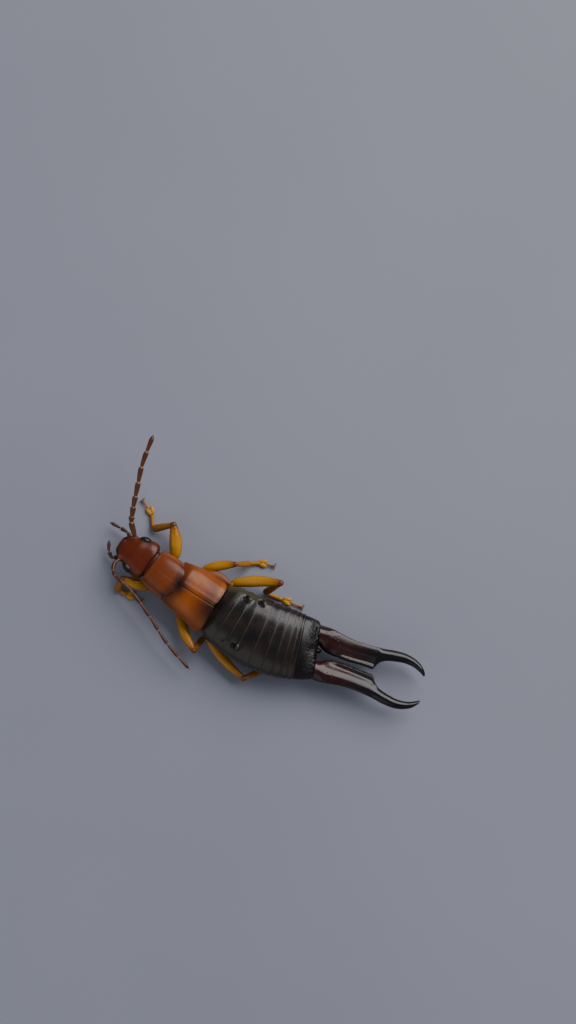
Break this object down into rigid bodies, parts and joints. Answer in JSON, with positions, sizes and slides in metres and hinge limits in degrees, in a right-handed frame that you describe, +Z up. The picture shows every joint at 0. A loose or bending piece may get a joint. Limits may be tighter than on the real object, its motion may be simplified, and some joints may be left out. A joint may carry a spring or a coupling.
{
  "type": "earwig",
  "caption": "Life-size model of a male earwig standing still, with short wing cases, ringed abdomen and half open pincers.",
  "frame": {"origin": "on the floor under the middle of the overall box, so at the middle of its underside", "axes": "+X forward towards the head, +Y to the animal's left, +Z up"},
  "size_m": [0.0246, 0.0134, 0.0037],
  "materials": {
    "head_shell": "dark red-brown chitin, glossy",
    "eyes": "black compound eye, fine facets",
    "feelers": "dark brown chitin, finely haired",
    "pronotum_shell": "chestnut chitin with pale side rims, satin",
    "wing_cases": "orange-brown chitin, satin",
    "trunk": "brown chitin, dull",
    "abdomen_shell": "near-black chitin, finely pitted, glossy",
    "pincers": "dark red to black chitin, glossy",
    "legs": "amber chitin with brown knees, satin"
  },
  "bodies": {
    "root": {"head": "head_shell", "eye_left": "eyes", "eye_right": "eyes", "antenna_left": "feelers", "antenna_right": "feelers", "palp_left": "feelers", "palp_right": "feelers", "pronotum": "pronotum_shell", "wing_case_left": "wing_cases", "wing_case_right": "wing_cases", "thorax": "trunk", "abdomen": "abdomen_shell", "tail_plate": "abdomen_shell", "pincer_left": "pincers", "pincer_right": "pincers", "leg_front_left": "legs", "leg_front_right": "legs", "leg_mid_left": "legs", "leg_mid_right": "legs", "leg_hind_left": "legs", "leg_hind_right": "legs"}
  },
  "joints": []
}
